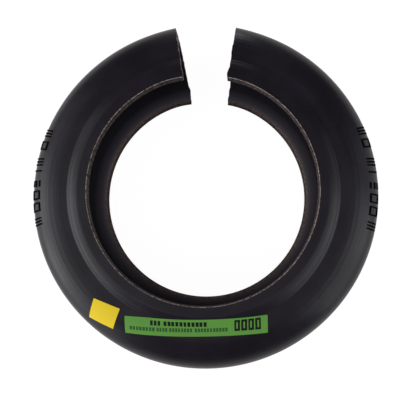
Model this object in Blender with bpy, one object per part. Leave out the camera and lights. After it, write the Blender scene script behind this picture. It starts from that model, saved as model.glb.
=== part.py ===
"""Split rubber tyre element of a tyre coupling, with its two labels.

Frame: the axis of the ring is Z, the labelled side is +Z, the split opens
towards +Y, and the origin is on the axis at the height of the rear bead
faces, on which the ring lies. Lengths are metres, angles are degrees.
"""

import math

import bmesh
import bpy
from mathutils import Matrix, Vector

# Ring, sprung open as it lies
FREE_OUTER_RADIUS = 0.0997
BEAD_BORE_RADIUS = 0.0631
BEAD_HALF_WIDTH = 0.0233
BODY_HALF_WIDTH = 0.0212

# Section, from the bore outwards
BEAD_THICKNESS = 0.0066
BEAD_EDGE_ROUND = 0.0006
BEAD_ROUND_WIDTH = 0.0040
BEAD_ROUND_HEIGHT = 0.0016
SEAT_WIDTH = 0.0049
STEP_WIDTH = 0.0065
STEP_POWER = 1.3
PLATEAU_WIDTH = 0.0041
SIDEWALL_THICKNESS = 0.0062
CROWN_THICKNESS = 0.0075
SHOULDER_START_POWER = 1.7
SHOULDER_END_POWER = 2.8

# Split: one skewed knife cut, opened to a gap; the section spreads at the ends,
# and the end towards -X lies back from the split, its front bead most
GAP_ANGLE = 20.9
CUT_OFFSET = 0.0052
END_SPREAD = 0.0004
LEFT_SET_BACK = 0.0006
LEFT_TWIST = 0.0011
LEFT_TURN = 0.0007
END_FADE_ANGLE = 14.0

# Points round the ring and along each part of the section
RING_STEPS = 90
STEP_SEGMENTS = 3
SHOULDER_SEGMENTS = 8
CAVITY_SEGMENTS = 5
BEAD_ROUND_SEGMENTS = 3

# Labels: distance along the face from the bore edge, angle from +X, turn
LABEL_THICKNESS = 0.0002
LABEL_CLEARANCE = 0.0003
GREEN_DISTANCE = 0.0113
GREEN_ANGLE = -90.7
GREEN_TURN = 2.5
GREEN_LENGTH = 0.0762
GREEN_WIDTH = 0.0093
GREEN_BOW = 0.0018
YELLOW_DISTANCE = 0.0231
YELLOW_ANGLE = -126.5
YELLOW_TURN = -19.3
YELLOW_LENGTH = 0.0154
YELLOW_WIDTH = 0.0122
LABEL_CELL = 0.0016

# Colours
RUBBER_COLOUR = (0.0130, 0.0118, 0.0144, 1.0)
GREEN_COLOUR = (0.0900, 0.3230, 0.0450, 1.0)
YELLOW_COLOUR = (0.7450, 0.5780, 0.0330, 1.0)

STEP_INNER_RADIUS = BEAD_BORE_RADIUS + SEAT_WIDTH
PLATEAU_INNER_RADIUS = STEP_INNER_RADIUS + STEP_WIDTH
PLATEAU_OUTER_RADIUS = PLATEAU_INNER_RADIUS + PLATEAU_WIDTH
STEP_HEIGHT = BEAD_HALF_WIDTH - BODY_HALF_WIDTH
CAVITY_HALF_WIDTH = BODY_HALF_WIDTH - SIDEWALL_THICKNESS
CAVITY_OUTER_RADIUS = FREE_OUTER_RADIUS - CROWN_THICKNESS
BEAD_INNER_HEIGHT = BEAD_HALF_WIDTH - BEAD_THICKNESS
MIDDLE_RADIUS = 0.5 * (BEAD_BORE_RADIUS + FREE_OUTER_RADIUS)


def clear_scene():
    """Remove every object of the start scene."""
    for item in list(bpy.data.objects):
        bpy.data.objects.remove(item, do_unlink=True)


def plain_material(name, colour, roughness):
    """Return a Principled material of one colour."""
    material = bpy.data.materials.new(name)
    material.use_nodes = True
    shader = material.node_tree.nodes["Principled BSDF"]
    shader.inputs["Base Color"].default_value = colour
    shader.inputs["Roughness"].default_value = roughness
    material.diffuse_color = colour
    return material


def finish_object(builder, name, material):
    """Turn a finished mesh into a linked object with one material."""
    mesh = bpy.data.meshes.new(name)
    builder.to_mesh(mesh)
    builder.free()
    mesh.shade_smooth()
    mesh.set_sharp_from_angle(angle=math.radians(30.0))
    mesh.materials.append(material)
    item = bpy.data.objects.new(name, mesh)
    bpy.context.scene.collection.objects.link(item)
    return item


def step_drop(across):
    """Return how far the easy step falls at a distance out from its start."""
    return STEP_HEIGHT * (across / STEP_WIDTH) ** STEP_POWER


def face_outline():
    """Return radius and height pairs from the seat to just before the crown."""
    points = []
    for index in range(STEP_SEGMENTS + 1):
        across = STEP_WIDTH * index / STEP_SEGMENTS
        points.append((STEP_INNER_RADIUS + across, BEAD_HALF_WIDTH - step_drop(across)))
    reach = FREE_OUTER_RADIUS - PLATEAU_OUTER_RADIUS
    for index in range(SHOULDER_SEGMENTS):
        turn = math.radians(90.0 * index / SHOULDER_SEGMENTS)
        radius = PLATEAU_OUTER_RADIUS + reach * math.sin(turn) ** (2.0 / SHOULDER_START_POWER)
        points.append((radius, BODY_HALF_WIDTH * math.cos(turn) ** (2.0 / SHOULDER_END_POWER)))
    return points


def cavity_outline():
    """Return radius and height pairs from the cavity crown to the bore."""
    reach = CAVITY_OUTER_RADIUS - PLATEAU_OUTER_RADIUS
    points = []
    for index in range(1, CAVITY_SEGMENTS + 1):
        turn = math.radians(90.0 * index / CAVITY_SEGMENTS)
        radius = PLATEAU_OUTER_RADIUS + reach * math.cos(turn)
        points.append((radius, CAVITY_HALF_WIDTH * math.sin(turn)))
    for index in range(BEAD_ROUND_SEGMENTS + 1):
        turn = math.radians(90.0 * index / BEAD_ROUND_SEGMENTS)
        radius = BEAD_BORE_RADIUS + BEAD_ROUND_WIDTH * (1.0 - math.sin(turn))
        points.append((radius, BEAD_INNER_HEIGHT + BEAD_ROUND_HEIGHT * (1.0 - math.cos(turn))))
    return points


def mirrored(points):
    """Return the same points on the rear half, in reverse order."""
    return [(radius, -height) for radius, height in reversed(points)]


def ring_section():
    """Return the closed outline of the section, labelled side first."""
    edge = [
        (BEAD_BORE_RADIUS, BEAD_HALF_WIDTH - BEAD_EDGE_ROUND),
        (BEAD_BORE_RADIUS + BEAD_EDGE_ROUND, BEAD_HALF_WIDTH),
    ]
    outer = edge + face_outline()
    inner = cavity_outline()
    crown = [(FREE_OUTER_RADIUS, 0.0)]
    hollow = [(CAVITY_OUTER_RADIUS, 0.0)]
    return outer + crown + mirrored(outer) + mirrored(inner) + hollow + inner


def cut_plane_point(radius, height, middle_angle):
    """Place a section point in a cut plane that misses the axis."""
    skew = math.asin(CUT_OFFSET / MIDDLE_RADIUS) - math.asin(CUT_OFFSET / radius)
    angle = middle_angle + skew
    return Vector((radius * math.cos(angle), radius * math.sin(angle), height + BEAD_HALF_WIDTH))


def shape_ends(builder):
    """Spread the section where the ring was cut, and lay the left end back."""
    half_gap = math.radians(0.5 * GAP_ANGLE)
    fade = math.radians(END_FADE_ANGLE)
    half_depth = FREE_OUTER_RADIUS - MIDDLE_RADIUS
    for vertex in builder.verts:
        radius = math.hypot(vertex.co.x, vertex.co.y)
        angle = math.atan2(vertex.co.y, vertex.co.x)
        from_split = abs(math.atan2(vertex.co.x, vertex.co.y))
        share = max(0.0, 1.0 - (from_split - half_gap) / fade) ** 2
        depth = (radius - MIDDLE_RADIUS) / half_depth
        if vertex.co.x < 0.0:
            rise = 0.5 * vertex.co.z / BEAD_HALF_WIDTH - 0.5
            set_back = LEFT_SET_BACK + LEFT_TWIST * rise - LEFT_TURN * depth
            angle += share * set_back / radius
        radius += END_SPREAD * share * depth
        vertex.co.x = radius * math.cos(angle)
        vertex.co.y = radius * math.sin(angle)


def build_tyre():
    """Spin the section round the axis, from one cut face to the other."""
    builder = bmesh.new()
    start = math.radians(90.0 + 0.5 * GAP_ANGLE)
    sweep = math.radians(360.0 - GAP_ANGLE)
    vertices = []
    for radius, height in ring_section():
        vertices.append(builder.verts.new(cut_plane_point(radius, height, start)))
    first_loop = []
    for index, vertex in enumerate(vertices):
        first_loop.append(builder.edges.new((vertex, vertices[index - 1])))
    spun = bmesh.ops.spin(
        builder,
        geom=vertices + first_loop,
        cent=(0.0, 0.0, 0.0),
        axis=(0.0, 0.0, 1.0),
        angle=sweep,
        steps=RING_STEPS,
        use_merge=False,
        use_duplicate=False,
    )
    last_loop = [item for item in spun["geom_last"] if isinstance(item, bmesh.types.BMEdge)]
    bmesh.ops.contextual_create(builder, geom=first_loop)
    bmesh.ops.contextual_create(builder, geom=last_loop)
    shape_ends(builder)
    cut_faces = [face for face in builder.faces if len(face.verts) > 4]
    bmesh.ops.triangulate(builder, faces=cut_faces)
    bmesh.ops.recalc_face_normals(builder, faces=builder.faces)
    return finish_object(builder, "tyre", plain_material("tyre_rubber", RUBBER_COLOUR, 0.62))


def side_path():
    """Return the outer side as distance, radius, height and outward normal."""
    outer = [(BEAD_BORE_RADIUS, BEAD_HALF_WIDTH)] + face_outline()
    points = outer + [(FREE_OUTER_RADIUS, 0.0)] + mirrored(outer)
    normals = []
    for index in range(len(points)):
        before = points[max(index - 1, 0)]
        after = points[min(index + 1, len(points) - 1)]
        run = after[0] - before[0]
        fall = after[1] - before[1]
        length = math.hypot(run, fall)
        normals.append((-fall / length, run / length))
    path = []
    distance = 0.0
    for index, (radius, height) in enumerate(points):
        if index > 0:
            last = points[index - 1]
            distance += math.hypot(radius - last[0], height - last[1])
        path.append((distance, radius, height, normals[index][0], normals[index][1]))
    return path


def point_on_side(path, distance, angle, lift):
    """Return the point at a distance along the side, lifted off it."""
    later = 1
    while later < len(path) - 1 and path[later][0] < distance:
        later += 1
    start = path[later - 1]
    end = path[later]
    share = (distance - start[0]) / (end[0] - start[0])
    values = [one + (two - one) * share for one, two in zip(start, end)]
    length = math.hypot(values[3], values[4])
    radius = values[1] + lift * values[3] / length
    height = values[2] + lift * values[4] / length
    return Vector((radius * math.cos(angle), radius * math.sin(angle), height + BEAD_HALF_WIDTH))


def build_label(name, place, size, bow, colour):
    """Lay a thin rectangular label on the side of the ring."""
    distance, angle, turn = place
    length, width = size
    path = side_path()
    columns = math.ceil(length / LABEL_CELL)
    rows = math.ceil(width / LABEL_CELL)
    centre_radius = BEAD_BORE_RADIUS + distance
    centre = Vector((math.cos(math.radians(angle)), math.sin(math.radians(angle))))
    spin = Matrix.Rotation(math.radians(turn), 2)
    builder = bmesh.new()
    bmesh.ops.create_grid(builder, x_segments=columns, y_segments=rows, size=0.5)
    for vertex in builder.verts:
        across = vertex.co.y * width + 4.0 * bow * vertex.co.x ** 2
        spot = centre * centre_radius + spin @ Vector((vertex.co.x * length, across))
        reach = spot.length - BEAD_BORE_RADIUS
        bearing = math.atan2(spot.y, spot.x)
        vertex.co = point_on_side(path, reach, bearing, LABEL_CLEARANCE)
    bmesh.ops.recalc_face_normals(builder, faces=builder.faces)
    middle = sum((face.normal.z for face in builder.faces), 0.0)
    if middle < 0.0:
        bmesh.ops.reverse_faces(builder, faces=builder.faces)
    bmesh.ops.solidify(builder, geom=builder.faces[:], thickness=-LABEL_THICKNESS)
    bmesh.ops.recalc_face_normals(builder, faces=builder.faces)
    return finish_object(builder, name, plain_material(name + "_film", colour, 0.45))


clear_scene()
build_tyre()
build_label(
    "green_label",
    (GREEN_DISTANCE, GREEN_ANGLE, GREEN_TURN),
    (GREEN_LENGTH, GREEN_WIDTH),
    GREEN_BOW,
    GREEN_COLOUR,
)
build_label(
    "yellow_label",
    (YELLOW_DISTANCE, YELLOW_ANGLE, YELLOW_TURN),
    (YELLOW_LENGTH, YELLOW_WIDTH),
    0.0,
    YELLOW_COLOUR,
)
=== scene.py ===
"""Look of a split rubber tyre coupling element with two stickers.

The part lies flat with its stickers up, its axis is Z and its split opens
towards +Y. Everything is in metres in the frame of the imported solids.
"""

import logging
import math
from dataclasses import dataclass, field
from enum import Enum

import bmesh
import bpy
from mathutils import Matrix, Vector, noise


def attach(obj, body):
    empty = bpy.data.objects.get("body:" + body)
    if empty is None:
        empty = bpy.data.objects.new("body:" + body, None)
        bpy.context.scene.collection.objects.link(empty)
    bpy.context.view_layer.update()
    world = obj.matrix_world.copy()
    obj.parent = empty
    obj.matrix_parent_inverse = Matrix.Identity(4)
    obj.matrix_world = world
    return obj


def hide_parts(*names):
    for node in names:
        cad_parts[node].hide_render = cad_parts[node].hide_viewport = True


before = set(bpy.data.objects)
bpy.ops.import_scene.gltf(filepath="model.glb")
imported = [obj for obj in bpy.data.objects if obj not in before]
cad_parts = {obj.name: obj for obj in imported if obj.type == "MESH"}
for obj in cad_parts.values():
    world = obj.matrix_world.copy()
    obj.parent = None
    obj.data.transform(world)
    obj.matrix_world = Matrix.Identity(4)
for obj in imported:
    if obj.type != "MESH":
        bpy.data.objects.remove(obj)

LOG = logging.getLogger("tyre_element")
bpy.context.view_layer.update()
BODY = "root"
MM_PER_M = 1000.0
WHITE = "#ffffff"

# Sockets of a Mix node that blends colours, several of which share a name.
MIX_SHARE, MIX_A, MIX_B, MIX_COLOUR = 0, 6, 7, 2

# Faces that meet at more than this many degrees meet in a sharp edge.
SHARP_ANGLE = 38.0

# Corners of the faces that the spin makes. Only the two cuts have more.
QUAD = 4

# The green sticker's print, in millimetres from its lower left corner.
BOLD_RUNS = ((13.7, 19.2), (21.0, 44.0))
BOLD_ROW = (5.3, 7.8)
FINE_RUNS = ((2.6, 16.2), (17.2, 23.0), (24.0, 36.2), (37.6, 55.0))
FINE_ROW = (2.3, 4.2)
LARGE_FRAMES = (58.5, 62.2, 65.9, 69.6)
LARGE_FOOT, LARGE_WIDTH, LARGE_HEIGHT = 2.3, 3.1, 5.9
LARGE_LINE = 1.15

# Width of a printed block as a share of its height, and the gap to the next
# block as a share of that width.
BLOCK_WIDTH = 0.62
BLOCK_GAP = 0.36

Pair = tuple[float, float]
Box = tuple[float, float, float, float]
Colour = tuple[float, float, float, float]
SideSpot = tuple[float, float, float, float, float]


class Zone(Enum):
    """Zones of the tyre's surface that have a finish of their own."""

    MOULDED = 0
    BEAD_EDGE = 1
    EDGE_LINE = 2
    CUT = 3
    BAND = 4
    INSIDE = 5
    INSIDE_EDGE = 6


class Mark(Enum):
    """Plain shapes of the raised marks, as bars in shares of a mark's size.

    Each bar is its place across the shoulder and round the ring, and whether
    it runs across the shoulder.
    """

    FRAME = ((0.0, -0.5, True), (0.0, 0.5, True), (-0.5, 0.0, False), (0.5, 0.0, False))
    BARS = ((0.0, -0.4, True), (0.0, 0.0, True), (0.0, 0.4, True))
    STEPS = ((-0.5, 0.0, False), (0.0, 0.0, False), (0.5, 0.0, False))
    BAR = ((0.0, 0.0, True),)


class Print(Enum):
    """Fields of a sticker: its plain film, and the two inks printed on it."""

    GROUND = 0
    INK = 1
    FINE_INK = 2


def linear(hex_colour: str) -> Colour:
    """Turn an sRGB hex colour into the linear values that shaders read.

    Args:
        hex_colour: Six hex digits after a hash.

    Returns:
        Red, green and blue in linear light, and full opacity.
    """
    digits = hex_colour.lstrip("#")
    values = []
    for start in (0, 2, 4):
        share = int(digits[start:start + 2], 16) / 255.0
        # The curve of the sRGB standard, with its straight foot.
        values.append(share / 12.92 if share <= 0.04045 else ((share + 0.055) / 1.055) ** 2.4)
    return values[0], values[1], values[2], 1.0


def add_node(
    owner: bpy.types.Material | bpy.types.World,
    kind: str,
    settings: dict[str, object] | None = None,
    inputs: dict[str | int, object] | None = None,
) -> bpy.types.Node:
    """Add a node, with its properties, socket values and links.

    Args:
        owner: Material or world whose node tree takes the node.
        kind: Blender's name of the node type.
        settings: Properties of the node by name.
        inputs: A value or an output socket for each input, by name or number.

    Returns:
        The new node.
    """
    tree = owner.node_tree
    node = tree.nodes.new(kind)
    for name, value in (settings or {}).items():
        setattr(node, name, value)
    for key, value in (inputs or {}).items():
        if isinstance(value, bpy.types.NodeSocket):
            tree.links.new(value, node.inputs[key])
        else:
            node.inputs[key].default_value = value
    return node


def new_material(name: str) -> tuple[bpy.types.Material, bpy.types.Node]:
    """Make a material that holds nothing but its shader and its output.

    Args:
        name: Name of the finish.

    Returns:
        The material and its Principled shader.
    """
    material = bpy.data.materials.new(name)
    material.use_nodes = True
    return material, material.node_tree.nodes["Principled BSDF"]


def axis_distance(
    material: bpy.types.Material, place: bpy.types.NodeSocket
) -> bpy.types.NodeSocket:
    """Add nodes that measure the distance from the part's axis.

    Args:
        material: Material that takes the nodes.
        place: Object coordinates.

    Returns:
        The distance, in metres.
    """
    flat = add_node(
        material,
        "ShaderNodeVectorMath",
        {"operation": "MULTIPLY"},
        {0: place, 1: (1.0, 1.0, 0.0)},
    )
    length = add_node(
        material, "ShaderNodeVectorMath", {"operation": "LENGTH"}, {0: flat.outputs[0]}
    )
    return length.outputs["Value"]


@dataclass(frozen=True)
class MouldedRubber:
    """Black rubber as it leaves the mould, with a faint grey bloom.

    Chloroprene rubber, compression moulded: a dark violet black ground, a
    satin skin that catches broad light, a grey bloom that has come to the
    surface in soft patches, fine rings left by the turned mould, and a crown
    that is coloured a warmer, lighter grey. A little powder on the skin shows
    where it is seen edge on. The rings and the grain are drawn coarser than
    the real ones, which are too fine to show.
    """

    name: str = "moulded_rubber"
    ground: str = "#19161d"
    bloom: str = "#211e26"
    roughness: float = 0.3
    gloss: float = 0.2
    bloom_patch_mm: float = 24.0
    bloom_low: float = 0.35
    bloom_high: float = 0.7
    grain_mm: float = 1.3
    grain_depth_mm: float = 0.03
    ring_mm: float = 1.6
    ring_depth_mm: float = 0.10
    crown_colour: str = "#231d20"
    crown_tint_start: float = 0.0945
    crown_tint_end: float = 0.0990
    dust: float = 0.08
    dust_colour: str = "#f6ccd2"
    dust_roughness: float = 0.3

    def material(self) -> bpy.types.Material:
        """Make the material.

        Returns:
            The material.
        """
        material, shader = new_material(self.name)
        links = material.node_tree.links
        place = add_node(material, "ShaderNodeTexCoord").outputs["Object"]
        distance = axis_distance(material, place)
        patches = add_node(
            material,
            "ShaderNodeTexNoise",
            {"noise_dimensions": "3D"},
            {
                "Vector": place,
                "Scale": MM_PER_M / self.bloom_patch_mm,
                "Detail": 3.0,
                "Roughness": 0.55,
            },
        )
        grain = add_node(
            material,
            "ShaderNodeTexNoise",
            {"noise_dimensions": "3D"},
            {
                "Vector": place,
                "Scale": MM_PER_M / self.grain_mm,
                "Detail": 2.0,
                "Roughness": 0.6,
            },
        )
        rings = add_node(
            material,
            "ShaderNodeTexNoise",
            {"noise_dimensions": "1D"},
            {"W": distance, "Scale": MM_PER_M / self.ring_mm, "Detail": 2.0},
        )
        spread = add_node(
            material,
            "ShaderNodeMapRange",
            {"interpolation_type": "SMOOTHSTEP"},
            {
                "Value": patches.outputs["Fac"],
                "From Min": self.bloom_low,
                "From Max": self.bloom_high,
            },
        )
        colour = add_node(
            material,
            "ShaderNodeMix",
            {"data_type": "RGBA"},
            {
                MIX_SHARE: spread.outputs["Result"],
                MIX_A: linear(self.ground),
                MIX_B: linear(self.bloom),
            },
        )
        # The rubber is coloured a warmer, lighter grey towards the crown's outer edge.
        tint_share = add_node(
            material,
            "ShaderNodeMapRange",
            {"interpolation_type": "SMOOTHSTEP"},
            {"Value": distance, "From Min": self.crown_tint_start, "From Max": self.crown_tint_end},
        )
        crown_tinted = add_node(
            material,
            "ShaderNodeMix",
            {"data_type": "RGBA"},
            {
                MIX_SHARE: tint_share.outputs["Result"],
                MIX_A: colour.outputs[MIX_COLOUR],
                MIX_B: linear(self.crown_colour),
            },
        )
        fine = add_node(
            material,
            "ShaderNodeBump",
            None,
            {"Distance": self.grain_depth_mm / MM_PER_M, "Height": grain.outputs["Fac"]},
        )
        bump = add_node(
            material,
            "ShaderNodeBump",
            None,
            {
                "Distance": self.ring_depth_mm / MM_PER_M,
                "Height": rings.outputs["Fac"],
                "Normal": fine.outputs["Normal"],
            },
        )
        links.new(crown_tinted.outputs[MIX_COLOUR], shader.inputs["Base Color"])
        links.new(bump.outputs["Normal"], shader.inputs["Normal"])
        shader.inputs["Roughness"].default_value = self.roughness
        shader.inputs["Specular IOR Level"].default_value = self.gloss
        shader.inputs["Sheen Weight"].default_value = self.dust
        shader.inputs["Sheen Roughness"].default_value = self.dust_roughness
        shader.inputs["Sheen Tint"].default_value = linear(self.dust_colour)
        return material


@dataclass(frozen=True)
class DustAndPaintedLightRubber:
    """Rubber inside the channel, grey with dust where the bead comes near.

    Mould powder and chalk stay on the inner side of the bead and thin out
    towards the dark of the channel. The colour is also painted light: it is
    lighter than the outer rubber, most of all near the bore, and it darkens
    further in as painted shade under the front bead. The grain is drawn
    coarser than the real one, which is too fine to show.
    """

    name: str = "inside_dust_and_painted_light"
    dust_and_light: str = "#524d55"
    clean_in_shade: str = "#242229"
    dust_and_light_start: float = 0.0648
    dust_and_light_end: float = 0.0712
    roughness: float = 0.45
    gloss: float = 0.1
    grain_mm: float = 1.1
    grain_depth_mm: float = 0.04

    def material(self) -> bpy.types.Material:
        """Make the material.

        Returns:
            The material.
        """
        material, shader = new_material(self.name)
        links = material.node_tree.links
        place = add_node(material, "ShaderNodeTexCoord").outputs["Object"]
        # Lighter near the bore and darker further in: partly dust, partly painted light near
        # the bore and painted shade under the front bead.
        share = add_node(
            material,
            "ShaderNodeMapRange",
            None,
            {
                "Value": axis_distance(material, place),
                "From Min": self.dust_and_light_start,
                "From Max": self.dust_and_light_end,
            },
        )
        colour = add_node(
            material,
            "ShaderNodeMix",
            {"data_type": "RGBA"},
            {
                MIX_SHARE: share.outputs["Result"],
                MIX_A: linear(self.dust_and_light),
                MIX_B: linear(self.clean_in_shade),
            },
        )
        grain = add_node(
            material,
            "ShaderNodeTexNoise",
            {"noise_dimensions": "3D"},
            {"Vector": place, "Scale": MM_PER_M / self.grain_mm, "Detail": 2.0},
        )
        bump = add_node(
            material,
            "ShaderNodeBump",
            None,
            {"Distance": self.grain_depth_mm / MM_PER_M, "Height": grain.outputs["Fac"]},
        )
        links.new(colour.outputs[MIX_COLOUR], shader.inputs["Base Color"])
        links.new(bump.outputs["Normal"], shader.inputs["Normal"])
        shader.inputs["Roughness"].default_value = self.roughness
        shader.inputs["Specular IOR Level"].default_value = self.gloss
        return material


@dataclass(frozen=True)
class CutPlies:
    """Rubber trimmed with a knife, with the fabric plies showing.

    A cut through rubber is dull and greyer than the moulded skin, and the
    cords of the plies give it short tan streaks. They are drawn coarser than
    real cords, which are too fine to show.
    """

    name: str
    ground: str
    streak: str
    roughness: float = 0.8
    gloss: float = 0.1
    streak_mm: float = 1.6
    depth_mm: float = 0.12
    middle: float = 0.5
    contrast: float = 0.2

    def material(self) -> bpy.types.Material:
        """Make the material.

        Returns:
            The material.
        """
        material, shader = new_material(self.name)
        links = material.node_tree.links
        place = add_node(material, "ShaderNodeTexCoord").outputs["Object"]
        streaks = add_node(
            material,
            "ShaderNodeTexNoise",
            {"noise_dimensions": "3D"},
            {
                "Vector": place,
                "Scale": MM_PER_M / self.streak_mm,
                "Detail": 3.0,
                "Roughness": 0.65,
            },
        )
        spread = add_node(
            material,
            "ShaderNodeMapRange",
            None,
            {
                "Value": streaks.outputs["Fac"],
                "From Min": self.middle - self.contrast,
                "From Max": self.middle + self.contrast,
            },
        )
        colour = add_node(
            material,
            "ShaderNodeMix",
            {"data_type": "RGBA"},
            {
                MIX_SHARE: spread.outputs["Result"],
                MIX_A: linear(self.ground),
                MIX_B: linear(self.streak),
            },
        )
        bump = add_node(
            material,
            "ShaderNodeBump",
            None,
            {"Distance": self.depth_mm / MM_PER_M, "Height": streaks.outputs["Fac"]},
        )
        links.new(colour.outputs[MIX_COLOUR], shader.inputs["Base Color"])
        links.new(bump.outputs["Normal"], shader.inputs["Normal"])
        shader.inputs["Roughness"].default_value = self.roughness
        shader.inputs["Specular IOR Level"].default_value = self.gloss
        return material


@dataclass(frozen=True)
class StickerFilm:
    """Coated paper or vinyl of a sticker, or the ink printed on it.

    The film is smooth with a low sheen, so it keeps its colour and shows
    only a soft highlight.
    """

    name: str
    colour: str
    roughness: float = 0.5
    gloss: float = 0.2

    def material(self) -> bpy.types.Material:
        """Make the material.

        Returns:
            The material.
        """
        material, shader = new_material(self.name)
        shader.inputs["Base Color"].default_value = linear(self.colour)
        shader.inputs["Roughness"].default_value = self.roughness
        shader.inputs["Specular IOR Level"].default_value = self.gloss
        return material


@dataclass(frozen=True)
class PaleFloor:
    """Pale matt table top that the camera sees as white, with a soft shadow.

    To the camera it is darker and glows by lift, so that the shadow stays
    faint. A glossy surface mirrors it a little brighter, by mirrored_lift.
    """

    name: str = "pale_floor"
    colour: str = "#d4d4d4"
    seen_colour: str = "#5a5a5a"
    roughness: float = 0.9
    gloss: float = 0.0
    lift: float = 0.965
    mirrored_lift: float = 0.2

    def material(self) -> bpy.types.Material:
        """Make the material.

        Returns:
            The material.
        """
        material, shader = new_material(self.name)
        links = material.node_tree.links
        path = add_node(material, "ShaderNodeLightPath").outputs
        colour = add_node(
            material,
            "ShaderNodeMix",
            {"data_type": "RGBA"},
            {
                MIX_SHARE: path["Is Camera Ray"],
                MIX_A: linear(self.colour),
                MIX_B: linear(self.seen_colour),
            },
        )
        mirrored = add_node(
            material,
            "ShaderNodeMath",
            {"operation": "MULTIPLY"},
            {0: path["Is Glossy Ray"], 1: self.mirrored_lift},
        )
        glow = add_node(
            material,
            "ShaderNodeMath",
            {"operation": "MULTIPLY_ADD"},
            {0: path["Is Camera Ray"], 1: self.lift, 2: mirrored.outputs[0]},
        )
        links.new(colour.outputs[MIX_COLOUR], shader.inputs["Base Color"])
        links.new(glow.outputs[0], shader.inputs["Emission Strength"])
        shader.inputs["Roughness"].default_value = self.roughness
        shader.inputs["Specular IOR Level"].default_value = self.gloss
        shader.inputs["Emission Color"].default_value = linear(WHITE)
        return material


@dataclass
class RingSection:
    """Section of the ring, from the bore out, with its driving sizes.

    onset and fullness are the powers of the shoulder's curve, and each number
    of parts says how many straight parts one stretch of the section has.
    """

    outer_radius: float = 0.0997
    bore_radius: float = 0.0631
    bead_half_width: float = 0.0233
    body_half_width: float = 0.0212
    bead_thickness: float = 0.0066
    edge_round: float = 0.0003
    round_width: float = 0.0040
    round_height: float = 0.0016
    seat_width: float = 0.0049
    step_width: float = 0.0065
    step_power: float = 1.3
    plateau_width: float = 0.0041
    sidewall: float = 0.0062
    crown: float = 0.0075
    onset: float = 1.7
    fullness: float = 2.8
    seat_parts: int = 4
    step_parts: int = 12
    plateau_parts: int = 4
    shoulder_parts: int = 34
    hollow_parts: int = 14
    wall_parts: int = 8
    round_parts: int = 8

    @property
    def step_start(self) -> float:
        """Radius at which the step down from the bead begins."""
        return self.bore_radius + self.seat_width

    @property
    def plateau_start(self) -> float:
        """Radius at which the flat side of the body begins."""
        return self.step_start + self.step_width

    @property
    def shoulder_start(self) -> float:
        """Radius at which the side begins to round over to the crown."""
        return self.plateau_start + self.plateau_width

    def step_drop(self, across: float) -> float:
        """Give the fall of the rounded step.

        Args:
            across: Distance out from the start of the step.

        Returns:
            The fall below the bead face.
        """
        fall = self.bead_half_width - self.body_half_width
        return fall * (across / self.step_width) ** self.step_power

    def face(self) -> list[Pair]:
        """Give the outer side from the seat to just before the crown.

        Returns:
            Radius and height above the mid-plane, from the bore out.
        """
        points = []
        for index in range(1, self.seat_parts):
            across = self.seat_width * index / self.seat_parts
            points.append((self.bore_radius + across, self.bead_half_width))
        for index in range(self.step_parts + 1):
            across = self.step_width * index / self.step_parts
            height = self.bead_half_width - self.step_drop(across)
            points.append((self.step_start + across, height))
        for index in range(1, self.plateau_parts):
            across = self.plateau_width * index / self.plateau_parts
            points.append((self.plateau_start + across, self.body_half_width))
        reach = self.outer_radius - self.shoulder_start
        for index in range(self.shoulder_parts):
            turn = math.radians(90.0 * index / self.shoulder_parts)
            radius = self.shoulder_start + reach * math.sin(turn) ** (2.0 / self.onset)
            height = self.body_half_width * math.cos(turn) ** (2.0 / self.fullness)
            points.append((radius, height))
        return points

    def cavity(self) -> list[Pair]:
        """Give the inner side from just past its crown to the bore.

        Returns:
            Radius and height above the mid-plane, from the crown in.
        """
        half = self.body_half_width - self.sidewall
        reach = self.outer_radius - self.crown - self.shoulder_start
        inner = self.bead_half_width - self.bead_thickness
        points = []
        for index in range(1, self.hollow_parts + 1):
            turn = math.radians(90.0 * index / self.hollow_parts)
            points.append((self.shoulder_start + reach * math.cos(turn), half * math.sin(turn)))
        start = self.bore_radius + self.round_width
        for index in range(1, self.wall_parts):
            share = index / self.wall_parts
            ease = share * share * (3.0 - 2.0 * share)
            radius = self.shoulder_start + (start - self.shoulder_start) * share
            # Halfway between a straight and an eased wall.
            points.append((radius, half + (inner - half) * (0.5 * share + 0.5 * ease)))
        for index in range(self.round_parts + 1):
            turn = math.radians(90.0 * index / self.round_parts)
            radius = start - self.round_width * math.sin(turn)
            points.append((radius, inner + self.round_height * (1.0 - math.cos(turn))))
        return points

    def outline(self) -> list[Pair]:
        """Give the closed outline of the section, labelled side first.

        Returns:
            Radius and height above the mid-plane, once round the wall.
        """
        edge = [
            (self.bore_radius, self.bead_half_width - self.edge_round),
            (self.bore_radius + self.edge_round, self.bead_half_width),
        ]
        outer = edge + self.face()
        inner = self.cavity()
        rear = [(radius, -height) for radius, height in reversed(outer)]
        rear_inner = [(radius, -height) for radius, height in reversed(inner)]
        crown = [(self.outer_radius, 0.0)]
        hollow = [(self.outer_radius - self.crown, 0.0)]
        return outer + crown + rear + rear_inner + hollow + inner

    def side_path(self) -> list[SideSpot]:
        """Give the outer side as a path from one bore edge to the other.

        Returns:
            Distance along the side, radius, height above the mid-plane, and
            the outward normal's parts along the radius and the axis.
        """
        outer = [(self.bore_radius, self.bead_half_width)] + self.face()
        rear = [(radius, -height) for radius, height in reversed(outer)]
        points = outer + [(self.outer_radius, 0.0)] + rear
        path = []
        distance = 0.0
        for index, (radius, height) in enumerate(points):
            before = points[max(index - 1, 0)]
            after = points[min(index + 1, len(points) - 1)]
            run, fall = after[0] - before[0], after[1] - before[1]
            length = math.hypot(run, fall)
            if index > 0:
                distance += math.hypot(radius - before[0], height - before[1])
            path.append((distance, radius, height, -fall / length, run / length))
        return path


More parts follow.
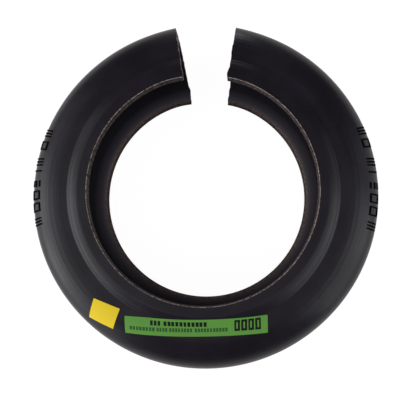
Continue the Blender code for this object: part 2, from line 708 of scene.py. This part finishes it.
@dataclass
class SideSurface:
    """Outer side of the ring as a surface that thin things lie on."""

    section: RingSection
    path: list[SideSpot] = field(init=False)

    def __post_init__(self) -> None:
        """Work out the path once."""
        self.path = self.section.side_path()

    def point(self, distance: float, angle: float, lift: float) -> Vector:
        """Give a point on the side, or lifted off it.

        Args:
            distance: Distance along the side from the bore edge.
            angle: Angle about the axis from +X, in radians.
            lift: Height above the surface.

        Returns:
            The point in the part's frame.
        """
        later = 1
        while later < len(self.path) - 1 and self.path[later][0] < distance:
            later += 1
        start, end = self.path[later - 1], self.path[later]
        share = (distance - start[0]) / (end[0] - start[0])
        values = [one + (two - one) * share for one, two in zip(start, end)]
        length = math.hypot(values[3], values[4])
        radius = values[1] + lift * values[3] / length
        height = values[2] + lift * values[4] / length + self.section.bead_half_width
        return Vector((radius * math.cos(angle), radius * math.sin(angle), height))


def finish_piece(
    builder: bmesh.types.BMesh,
    name: str,
    materials: list[bpy.types.Material],
    replaces: str | None,
) -> bpy.types.Object:
    """Turn a finished mesh into a piece that rides on the part.

    Args:
        builder: Mesh in the part's frame; it is freed.
        name: Name of the piece.
        materials: Materials in the order of the faces' indices.
        replaces: Solid that the piece stands for, if any.

    Returns:
        The new object.
    """
    mesh = bpy.data.meshes.new(name)
    builder.to_mesh(mesh)
    builder.free()
    mesh.shade_smooth()
    mesh.set_sharp_from_angle(angle=math.radians(SHARP_ANGLE))
    for material in materials:
        mesh.materials.append(material)
    piece = bpy.data.objects.new(name, mesh)
    bpy.context.scene.collection.objects.link(piece)
    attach(piece, BODY)
    if replaces:
        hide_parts(replaces)
    LOG.info("%s: %d faces", name, len(mesh.polygons))
    return piece


@dataclass(frozen=True)
class Nib:
    """Small flap of rubber that stands out of a cut end.

    side is -1 for the left end of the ring and 1 for the right end.
    """

    side: float
    radius: float
    height: float
    reach: float
    width: float = 0.0022
    depth: float = 0.0060

    def reach_at(self, radius: float, height: float) -> float:
        """Give how far a point of the end stands out.

        Args:
            radius: Distance of the point from the axis.
            height: Height of the point above the rear bead face.

        Returns:
            The distance towards the split.
        """
        across = (radius - self.radius) / self.width
        up = (height - self.height) / self.depth
        return self.reach * math.exp(-(across ** 2 + up ** 2))


@dataclass
class Tyre:
    """The moulded ring with its one cut, sprung open.

    The left end is set back, twisted and turned, which fades out round the
    ring by fade_angle. rag is how far the knife wandered, and rag_reach how
    far from the cut that still shows. The shares say where one finish gives
    way to the next: of the bead's edge round, of its inner round, of the
    crown and of the side wall.
    """

    section: RingSection
    gap_angle: float = 20.9
    cut_offset: float = 0.0052
    spread: float = 0.0004
    set_back: float = 0.0006
    twist: float = 0.0011
    turn: float = 0.0007
    fade_angle: float = 14.0
    steps: int = 320
    rag: float = 0.0005
    rag_reach: float = 0.004
    rag_waves: float = 420.0
    rag_seed: float = 0.3
    edge_share: float = 0.6
    dusty_share: float = 0.3
    crown_share: float = 0.7
    wall_share: float = 0.5
    nibs: tuple[Nib, ...] = (
        Nib(-1.0, 0.0702, 0.006, 0.0011),
        Nib(1.0, 0.0656, 0.045, 0.0011),
    )
    rubber: MouldedRubber = field(default_factory=MouldedRubber)
    band: MouldedRubber = field(
        default_factory=lambda: MouldedRubber(
            "smooth_band", gloss=0.26, ring_mm=2.4, ring_depth_mm=0.22
        )
    )
    inside: DustAndPaintedLightRubber = field(default_factory=DustAndPaintedLightRubber)
    inside_edge: MouldedRubber = field(
        default_factory=lambda: MouldedRubber(
            "dusty_inside_edge",
            ground="#4c403c",
            bloom="#6d5e57",
            bloom_patch_mm=1.2,
            gloss=0.12,
        )
    )
    bead_edge: CutPlies = field(
        default_factory=lambda: CutPlies(
            "trimmed_bead_edge", "#221d1d", "#5e5350", contrast=0.14
        )
    )
    edge_line: CutPlies = field(
        default_factory=lambda: CutPlies(
            "worn_bead_corner", "#433c3b", "#aea49f", contrast=0.13
        )
    )
    cut: CutPlies = field(
        default_factory=lambda: CutPlies(
            "knife_cut", "#2a2626", "#9b9089", streak_mm=3.2, contrast=0.16
        )
    )

    def place_in_cut(self, radius: float, height: float) -> Vector:
        """Place a section point in the first cut plane, which misses the axis.

        Args:
            radius: Distance from the axis.
            height: Height above the mid-plane.

        Returns:
            The point in the part's frame.
        """
        middle = 0.5 * (self.section.bore_radius + self.section.outer_radius)
        skew = math.asin(self.cut_offset / middle) - math.asin(self.cut_offset / radius)
        angle = math.radians(90.0 + 0.5 * self.gap_angle) + skew
        height += self.section.bead_half_width
        return Vector((radius * math.cos(angle), radius * math.sin(angle), height))

    def shape_ends(self, builder: bmesh.types.BMesh) -> None:
        """Spread the section, lay the left end back and leave the cuts ragged.

        Args:
            builder: Mesh of the ring in the part's frame.
        """
        section = self.section
        middle = 0.5 * (section.bore_radius + section.outer_radius)
        half_depth = section.outer_radius - middle
        half_gap = math.radians(0.5 * self.gap_angle)
        fade = math.radians(self.fade_angle)
        for vertex in builder.verts:
            radius = math.hypot(vertex.co.x, vertex.co.y)
            from_split = abs(math.atan2(vertex.co.x, vertex.co.y))
            share = max(0.0, 1.0 - (from_split - half_gap) / fade)
            if share == 0.0:
                continue
            side = math.copysign(1.0, vertex.co.x)
            depth = (radius - middle) / half_depth
            near = max(0.0, 1.0 - (from_split - half_gap) * radius / self.rag_reach)
            seed = Vector((side * self.rag_seed, radius, vertex.co.z)) * self.rag_waves
            shift = self.rag * noise.noise(seed) * min(1.0, near)
            for nib in self.nibs:
                if nib.side == side:
                    shift += side * min(1.0, near) * nib.reach_at(radius, vertex.co.z)
            if side < 0.0:
                rise = 0.5 * vertex.co.z / section.bead_half_width - 0.5
                shift += share ** 2 * (self.set_back + self.twist * rise - self.turn * depth)
            angle = math.atan2(vertex.co.y, vertex.co.x) + shift / radius
            radius += self.spread * share ** 2 * depth
            vertex.co.x = radius * math.cos(angle)
            vertex.co.y = radius * math.sin(angle)

    def paint(self, builder: bmesh.types.BMesh) -> None:
        """Give each zone of the surface its own finish.

        Args:
            builder: Mesh of the ring before its ends are shaped.
        """
        section = self.section
        for face in builder.faces:
            middle = face.calc_center_median()
            radius = math.hypot(middle.x, middle.y)
            height = abs(middle.z - section.bead_half_width)
            if len(face.verts) > QUAD:
                face.material_index = Zone.CUT.value
            elif radius < section.bore_radius + self.edge_share * section.edge_round:
                corner = section.bead_half_width - section.edge_round
                face.material_index = Zone.BEAD_EDGE.value
                if height > corner:
                    face.material_index = Zone.EDGE_LINE.value
            elif self.is_inside(radius, height):
                face.material_index = Zone.INSIDE.value
                if radius < section.bore_radius + self.dusty_share * section.round_width:
                    face.material_index = Zone.INSIDE_EDGE.value
            elif section.step_start < radius < section.plateau_start:
                face.material_index = Zone.BAND.value

    def is_inside(self, radius: float, height: float) -> bool:
        """Tell whether a spot on the skin belongs to the cavity.

        Args:
            radius: Distance from the axis.
            height: Distance from the mid-plane.

        Returns:
            True for the cavity's side of the wall.
        """
        section = self.section
        if radius > section.outer_radius - self.crown_share * section.crown:
            return False
        reach = section.outer_radius - section.shoulder_start
        share = max(0.0, (radius - section.shoulder_start) / reach)
        fall = (1.0 - share ** section.onset) ** (1.0 / section.fullness)
        return height < section.body_half_width * fall - self.wall_share * section.sidewall

    def build(self) -> bpy.types.Object:
        """Spin the section round the axis and dress it.

        Returns:
            The tyre.
        """
        builder = bmesh.new()
        outline = self.section.outline()
        vertices = [builder.verts.new(self.place_in_cut(*pair)) for pair in outline]
        first_loop = [
            builder.edges.new((vertex, vertices[index - 1]))
            for index, vertex in enumerate(vertices)
        ]
        spun = bmesh.ops.spin(
            builder,
            geom=vertices + first_loop,
            cent=(0.0, 0.0, 0.0),
            axis=(0.0, 0.0, 1.0),
            angle=math.radians(360.0 - self.gap_angle),
            steps=self.steps,
            use_merge=False,
            use_duplicate=False,
        )
        last_loop = [
            item for item in spun["geom_last"] if isinstance(item, bmesh.types.BMEdge)
        ]
        bmesh.ops.contextual_create(builder, geom=first_loop)
        bmesh.ops.contextual_create(builder, geom=last_loop)
        self.paint(builder)
        self.shape_ends(builder)
        cuts = [face for face in builder.faces if len(face.verts) > QUAD]
        bmesh.ops.triangulate(builder, faces=cuts)
        bmesh.ops.recalc_face_normals(builder, faces=builder.faces)
        # In the order of Zone.
        materials = [
            self.rubber.material(),
            self.bead_edge.material(),
            self.edge_line.material(),
            self.cut.material(),
            self.band.material(),
            self.inside.material(),
            self.inside_edge.material(),
        ]
        return finish_piece(builder, "tyre_ring", materials, "tyre")


@dataclass
class RaisedMarks:
    """Plain raised frames and bars moulded on both shoulders near the crown.

    They lie at distance from the bore edge, along the side. left and right
    give their angles from +X, in degrees. A bar is sunk into the skin: its
    thickness is its height times root.
    """

    surface: SideSurface
    distance: float = 0.0333
    height: float = 0.00045
    stroke: float = 0.0008
    depth: float = 0.0070
    width: float = 0.0044
    root: float = 1.5
    bar_parts: tuple[int, int] = (8, 4)
    left: tuple[float, ...] = (192.4, 187.4, 183.2, 179.2, 174.7, 171.5, 165.6, 161.1)
    right: tuple[float, ...] = (-10.8, -5.8, -1.5, 2.8, 7.4, 10.9, 17.5, 21.9)
    marks: tuple[Mark, ...] = (
        Mark.BARS,
        Mark.FRAME,
        Mark.FRAME,
        Mark.STEPS,
        Mark.BAR,
        Mark.BARS,
        Mark.FRAME,
        Mark.BARS,
    )
    # The marks are coloured near black with almost no gloss: painted shade for the dark shade
    # round the raised strokes.
    rubber: MouldedRubber = field(
        default_factory=lambda: MouldedRubber(
            "marks_painted_dark_as_shade",
            ground="#060507",
            bloom="#080709",
            roughness=0.7,
            gloss=0.02,
            crown_colour="#090607",
            dust=0.0,
        )
    )

    def bar_on_side(
        self, builder: bmesh.types.BMesh, angle: float, distance: float, size: Pair
    ) -> None:
        """Lay one raised bar on the side.

        Args:
            builder: Mesh that takes the bar.
            angle: Angle of its middle about the axis, in degrees.
            distance: Distance of its middle along the side.
            size: Length along the section and width round the ring.
        """
        columns, rows = self.bar_parts
        made = bmesh.ops.create_grid(builder, x_segments=columns, y_segments=rows, size=0.5)
        faces = list({face for vertex in made["verts"] for face in vertex.link_faces})
        radius = self.surface.point(distance, 0.0, 0.0).x
        for vertex in made["verts"]:
            along = distance + vertex.co.x * size[0]
            bearing = math.radians(angle) + vertex.co.y * size[1] / radius
            vertex.co = self.surface.point(along, bearing, self.height)
        bmesh.ops.recalc_face_normals(builder, faces=faces)
        bmesh.ops.solidify(builder, geom=faces, thickness=self.height * self.root)

    def build(self) -> bpy.types.Object:
        """Lay all the marks.

        Returns:
            The piece that holds them.
        """
        builder = bmesh.new()
        radius = self.surface.point(self.distance, 0.0, 0.0).x
        for angles in (self.left, self.right):
            for angle, mark in zip(angles, self.marks):
                for along, around, is_across in mark.value:
                    place = angle + math.degrees(around * self.width / radius)
                    size = (self.depth + self.stroke, self.stroke)
                    if not is_across:
                        size = (self.stroke, self.width - self.stroke)
                    self.bar_on_side(builder, place, self.distance + along * self.depth, size)
        bmesh.ops.recalc_face_normals(builder, faces=builder.faces)
        return finish_piece(builder, "raised_marks", [self.rubber.material()], None)


@dataclass
class Sticker:
    """A rectangular sticker that lies on the side of the ring.

    angle is where its middle lies about the axis and turn how it is turned,
    both in degrees. Its ends lie further up than its middle, by bow.
    """

    name: str
    surface: SideSurface
    distance: float
    angle: float
    turn: float
    length: float
    width: float
    bow: float
    film: StickerFilm
    ink: StickerFilm
    fine_ink: StickerFilm
    fields: dict[Print, tuple[Box, ...]] = field(default_factory=dict)
    lift: float = 0.00012
    thickness: float = 0.00014
    cell: float = 0.0004

    def field_at(self, across: float, up: float) -> Print:
        """Tell which ink, if any, a spot carries.

        Args:
            across: Distance from the left edge.
            up: Distance from the lower edge.

        Returns:
            The field the spot lies in.
        """
        for ink, corners in self.fields.items():
            if any(x0 <= across <= x1 and y0 <= up <= y1 for x0, y0, x1, y1 in corners):
                return ink
        return Print.GROUND

    def build(self) -> bpy.types.Object:
        """Lay the sticker on the side, print it and give it its thickness.

        Returns:
            The sticker.
        """
        builder = bmesh.new()
        columns, rows = round(self.length / self.cell), round(self.width / self.cell)
        made = bmesh.ops.create_grid(builder, x_segments=columns, y_segments=rows, size=0.5)
        for face in builder.faces:
            spot = face.calc_center_median()
            across, up = (spot.x + 0.5) * self.length, (spot.y + 0.5) * self.width
            face.material_index = self.field_at(across, up).value
        bearing = math.radians(self.angle)
        centre = Vector((math.cos(bearing), math.sin(bearing)))
        centre *= self.surface.section.bore_radius + self.distance
        spin = Matrix.Rotation(math.radians(self.turn), 2)
        for vertex in made["verts"]:
            # The bow is a parabola: nothing in the middle, all of it at the ends.
            up = vertex.co.y * self.width + 4.0 * self.bow * vertex.co.x ** 2
            spot = centre + spin @ Vector((vertex.co.x * self.length, up))
            reach = spot.length - self.surface.section.bore_radius
            angle = math.atan2(spot.y, spot.x)
            vertex.co = self.surface.point(reach, angle, self.lift + self.thickness)
        bmesh.ops.recalc_face_normals(builder, faces=builder.faces)
        if sum(face.normal.z for face in builder.faces) < 0.0:
            bmesh.ops.reverse_faces(builder, faces=builder.faces)
        bmesh.ops.solidify(builder, geom=builder.faces[:], thickness=self.thickness)
        bmesh.ops.recalc_face_normals(builder, faces=builder.faces)
        materials = [self.film.material(), self.ink.material(), self.fine_ink.material()]
        return finish_piece(builder, self.name + "_film", materials, self.name)


@dataclass(frozen=True)
class Lamp:
    """Square soft lamp, a metre away, that faces the part.

    turn is its angle from +X and rise its angle above the floor, in degrees.
    """

    name: str
    turn: float
    rise: float
    power: float
    size: float = 0.8

    def build(self) -> None:
        """Make the lamp and turn it to the part."""
        data = bpy.data.lights.new(self.name, "AREA")
        data.energy = self.power
        data.size = self.size
        turn, rise = math.radians(self.turn), math.radians(self.rise)
        level = math.cos(rise)
        away = Vector((math.cos(turn) * level, math.sin(turn) * level, math.sin(rise)))
        lamp = bpy.data.objects.new(self.name, data)
        lamp.location = away
        lamp.rotation_euler = away.to_track_quat("Z", "Y").to_euler()
        bpy.context.scene.collection.objects.link(lamp)


@dataclass
class Studio:
    """Pale floor, soft lamps and the camera, whose angles are in degrees."""

    floor_size: float = 6.0
    world: str = "#c9c9cc"
    world_strength: float = 0.135
    focal_length: float = 36.55
    sensor_width: float = 36.0
    clip_start: float = 0.01
    camera_place: tuple[float, float, float] = (0.01473, -0.0299, 0.27176)
    camera_angles: tuple[float, float, float] = (4.949, 2.623, 1.7)
    lamps: tuple[Lamp, ...] = (
        Lamp("left_rear", 165.0, 30.0, 1.6),
        Lamp("left_low", 186.0, 10.0, 3.5),
        Lamp("left_middle", 198.0, 22.0, 2.5),
        Lamp("left_high", 198.0, 60.0, 1.95),
        Lamp("left_front", 215.0, 12.0, 3.0),
        Lamp("right_middle", 340.0, 25.0, 3.7),
        Lamp("right_high", 340.0, 65.0, 1.1),
        Lamp("right_low", 5.0, 20.0, 1.35),
        Lamp("split_side", 90.0, 9.0, 1.2, 0.3),
    )

    def build(self) -> None:
        """Make the floor, the lamps, the world and the camera."""
        builder = bmesh.new()
        bmesh.ops.create_grid(builder, x_segments=1, y_segments=1, size=self.floor_size / 2.0)
        mesh = bpy.data.meshes.new("floor")
        builder.to_mesh(mesh)
        builder.free()
        mesh.materials.append(PaleFloor().material())
        floor = bpy.data.objects.new("floor", mesh)
        bpy.context.scene.collection.objects.link(floor)
        for lamp in self.lamps:
            lamp.build()
        bpy.context.scene.world = self.sky()
        bpy.context.scene.view_settings.view_transform = "Standard"
        self.camera()

    def sky(self) -> bpy.types.World:
        """Make a pale world that lights little and that the camera sees as white.

        Returns:
            The world.
        """
        world = bpy.data.worlds.new("studio")
        world.use_nodes = True
        links = world.node_tree.links
        background = world.node_tree.nodes["Background"]
        seen = add_node(world, "ShaderNodeLightPath").outputs["Is Camera Ray"]
        colour = add_node(
            world,
            "ShaderNodeMix",
            {"data_type": "RGBA"},
            {MIX_SHARE: seen, MIX_A: linear(self.world), MIX_B: linear(WHITE)},
        )
        strength = add_node(
            world,
            "ShaderNodeMath",
            {"operation": "MULTIPLY_ADD"},
            {0: seen, 1: 1.0 - self.world_strength, 2: self.world_strength},
        )
        links.new(colour.outputs[MIX_COLOUR], background.inputs["Color"])
        links.new(strength.outputs[0], background.inputs["Strength"])
        return world

    def camera(self) -> None:
        """Place the camera above the stickers, a little to the lower right."""
        data = bpy.data.cameras.new("camera")
        data.lens = self.focal_length
        data.sensor_width = self.sensor_width
        data.clip_start = self.clip_start
        camera = bpy.data.objects.new("camera", data)
        camera.location = self.camera_place
        camera.rotation_euler = [math.radians(angle) for angle in self.camera_angles]
        bpy.context.scene.collection.objects.link(camera)
        bpy.context.scene.camera = camera


def block_row(start: float, end: float, low: float, high: float) -> list[Box]:
    """Give a row of small upright printed blocks.

    Args:
        start: Left end, in millimetres from the sticker's left edge.
        end: Right end.
        low: Foot, in millimetres from the sticker's lower edge.
        high: Head.

    Returns:
        The blocks' corners, in metres.
    """
    width = BLOCK_WIDTH * (high - low)
    gap = BLOCK_GAP * width
    count = max(1, round((end - start) / (width + gap)))
    pitch = (end - start + gap) / count
    blocks = []
    for index in range(count):
        left = start + index * pitch
        right = left + pitch - gap
        blocks.append((left / MM_PER_M, low / MM_PER_M, right / MM_PER_M, high / MM_PER_M))
    return blocks


def frame_field(left: float, low: float, width: float, height: float) -> list[Box]:
    """Give an upright printed frame as four fields.

    Args:
        left: Left edge, in millimetres from the sticker's left edge.
        low: Lower edge, in millimetres from the sticker's lower edge.
        width: Width of the frame.
        height: Height of the frame.

    Returns:
        The fields' corners, in metres.
    """
    right, high = left + width, low + height
    bars = [
        (left, low, left + LARGE_LINE, high),
        (right - LARGE_LINE, low, right, high),
        (left, low, right, low + LARGE_LINE),
        (left, high - LARGE_LINE, right, high),
    ]
    return [tuple(side / MM_PER_M for side in bar) for bar in bars]


def green_print() -> dict[Print, tuple[Box, ...]]:
    """Lay out the green sticker: rows of small blocks and a row of large frames.

    Returns:
        The printed fields of each ink.
    """
    bold, fine = [], []
    for start, end in BOLD_RUNS:
        bold += block_row(start, end, *BOLD_ROW)
    for start, end in FINE_RUNS:
        fine += block_row(start, end, *FINE_ROW)
    for left in LARGE_FRAMES:
        bold += frame_field(left, LARGE_FOOT, LARGE_WIDTH, LARGE_HEIGHT)
    return {Print.INK: tuple(bold), Print.FINE_INK: tuple(fine)}


def main() -> None:
    """Build every piece and report it."""
    logging.basicConfig(level=logging.INFO, format="%(name)s %(message)s")
    section = RingSection()
    surface = SideSurface(section)
    Tyre(section).build()
    RaisedMarks(surface).build()
    ink = StickerFilm("printing_ink", "#0f150f", roughness=0.55)
    fine_ink = StickerFilm("fine_printing_ink", "#2c5a2b", roughness=0.55)
    Sticker(
        name="green_label",
        surface=surface,
        distance=0.0113,
        angle=-90.7,
        turn=2.5,
        length=0.0762,
        width=0.0093,
        bow=0.0018,
        film=StickerFilm("green_film", "#619b43"),
        ink=ink,
        fine_ink=fine_ink,
        fields=green_print(),
        cell=0.0002,
    ).build()
    Sticker(
        name="yellow_label",
        surface=surface,
        distance=0.0231,
        angle=-126.5,
        turn=-19.3,
        length=0.0154,
        width=0.0122,
        bow=0.0,
        film=StickerFilm("yellow_film", "#eed126"),
        ink=ink,
        fine_ink=fine_ink,
    ).build()
    Studio().build()


if __name__ == "__main__":
    main()
